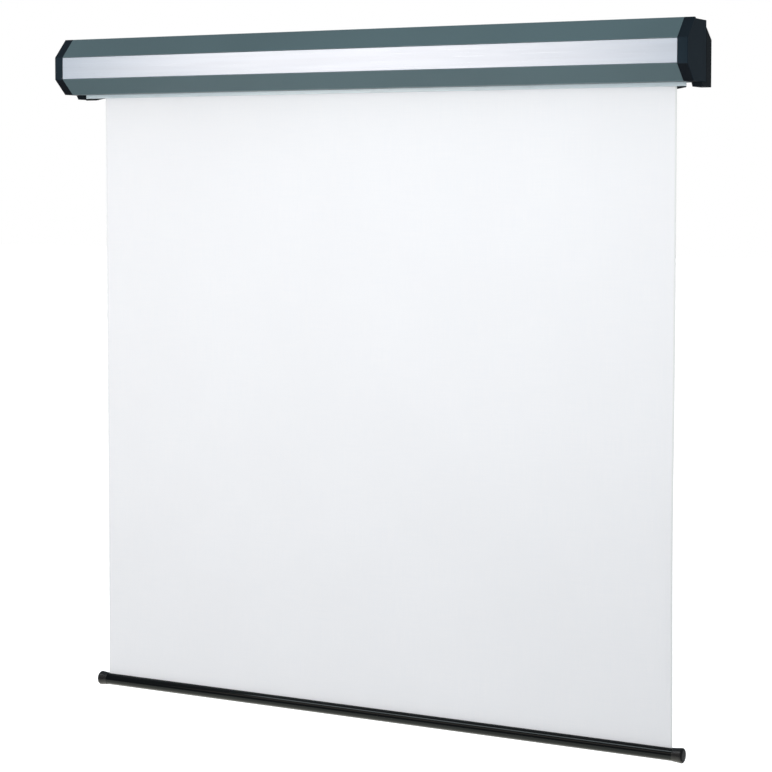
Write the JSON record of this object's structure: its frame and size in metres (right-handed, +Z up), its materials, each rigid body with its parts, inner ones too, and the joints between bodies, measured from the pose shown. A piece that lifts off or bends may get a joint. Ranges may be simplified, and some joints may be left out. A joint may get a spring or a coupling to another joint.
{
  "type": "motorized projection screen",
  "caption": "Motor-driven projection screen with an octagonal wall-hung casing, a white sheet rolled down through its slot and a round weight bar.",
  "frame": {"origin": "on the wall plane, level with the roller's axis, at the middle of the casing", "axes": "+X along the casing, to the right as seen from the room; +Y into the wall; +Z up"},
  "size_m": [1.671, 0.153, 1.647],
  "materials": {
    "casing_paint": "satin",
    "trim_silver": "satin",
    "lip_light": "satin",
    "cap_black": "satin",
    "bracket_black": "satin",
    "bar_black": "satin",
    "sheet_white": "matte",
    "tube_aluminium": "satin",
    "motor_grey": "satin",
    "zinc_plated": "satin",
    "plain_steel": "satin",
    "grommet_rubber": "matte",
    "nylon_natural": "satin",
    "adjuster_yellow": "satin"
  },
  "bodies": {
    "casing": {"casing_extrusion": "casing_paint", "front_trim_strip": "trim_silver", "slot_lip": "lip_light", "rear_slot_rail": "cap_black", "end_cap_left": "cap_black", "end_cap_right": "cap_black", "cap_screw_left_1": "bracket_black", "cap_screw_left_2": "bracket_black", "cap_screw_right_1": "bracket_black", "cap_screw_right_2": "bracket_black", "cable_grommet": "grommet_rubber", "wall_bracket_left": "bracket_black", "wall_bracket_right": "bracket_black", "bracket_screw_left": "zinc_plated", "bracket_screw_right": "zinc_plated", "motor_plate": "zinc_plated", "motor_plate_screw_1": "plain_steel", "motor_plate_screw_2": "plain_steel", "motor_plate_screw_3": "plain_steel", "idler_plate": "zinc_plated", "idler_plate_screw_1": "plain_steel", "idler_plate_screw_2": "plain_steel", "idler_plate_screw_3": "plain_steel", "motor_head": "cap_black", "motor_tube": "motor_grey", "motor_pin": "zinc_plated", "motor_clip": "plain_steel", "idler_pin": "zinc_plated", "idler_nut": "zinc_plated", "pin_circlip": "plain_steel", "bearing_inner_ring": "plain_steel", "projection_sheet": "sheet_white"},
    "weight_bar": {"bar_tube": "bar_black", "bar_cap_left": "bar_black", "bar_cap_right": "bar_black", "hem_rod": "plain_steel"},
    "roller": {"roller_tube": "tube_aluminium", "fabric_roll": "sheet_white", "fabric_spline": "nylon_natural", "limit_crown": "cap_black", "drive_wheel": "cap_black", "output_shaft": "plain_steel", "drive_screw": "zinc_plated", "idler_plug": "cap_black", "bearing_outer_ring": "plain_steel"},
    "adjuster_up": {"limit_screw_up": "adjuster_yellow"},
    "adjuster_down": {"limit_screw_down": "adjuster_yellow"}
  },
  "joints": [
    {"name": "bar_lift", "type": "slide", "parent": "casing", "child": "weight_bar", "axis": [0, 0, 1], "range_m": [0, 1.454], "deforming": ["projection_sheet"]},
    {"name": "roller_spin", "type": "hinge", "parent": "casing", "child": "roller", "pos_m": [0, -0.093, 0], "axis": [1, 0, 0], "range_deg": [0, 2640]},
    {"name": "adjuster_up_turn", "type": "hinge", "parent": "casing", "child": "adjuster_up", "pos_m": [-0.8012, -0.06125, -0.0093], "axis": [0, 0, 1], "continuous": true},
    {"name": "adjuster_down_turn", "type": "hinge", "parent": "casing", "child": "adjuster_down", "pos_m": [-0.7872, -0.06125, -0.0093], "axis": [0, 0, 1], "continuous": true}
  ],
  "couplings": [
    {"joint": "roller_spin", "follows": "bar_lift", "rad_per_m": 31.5}
  ]
}
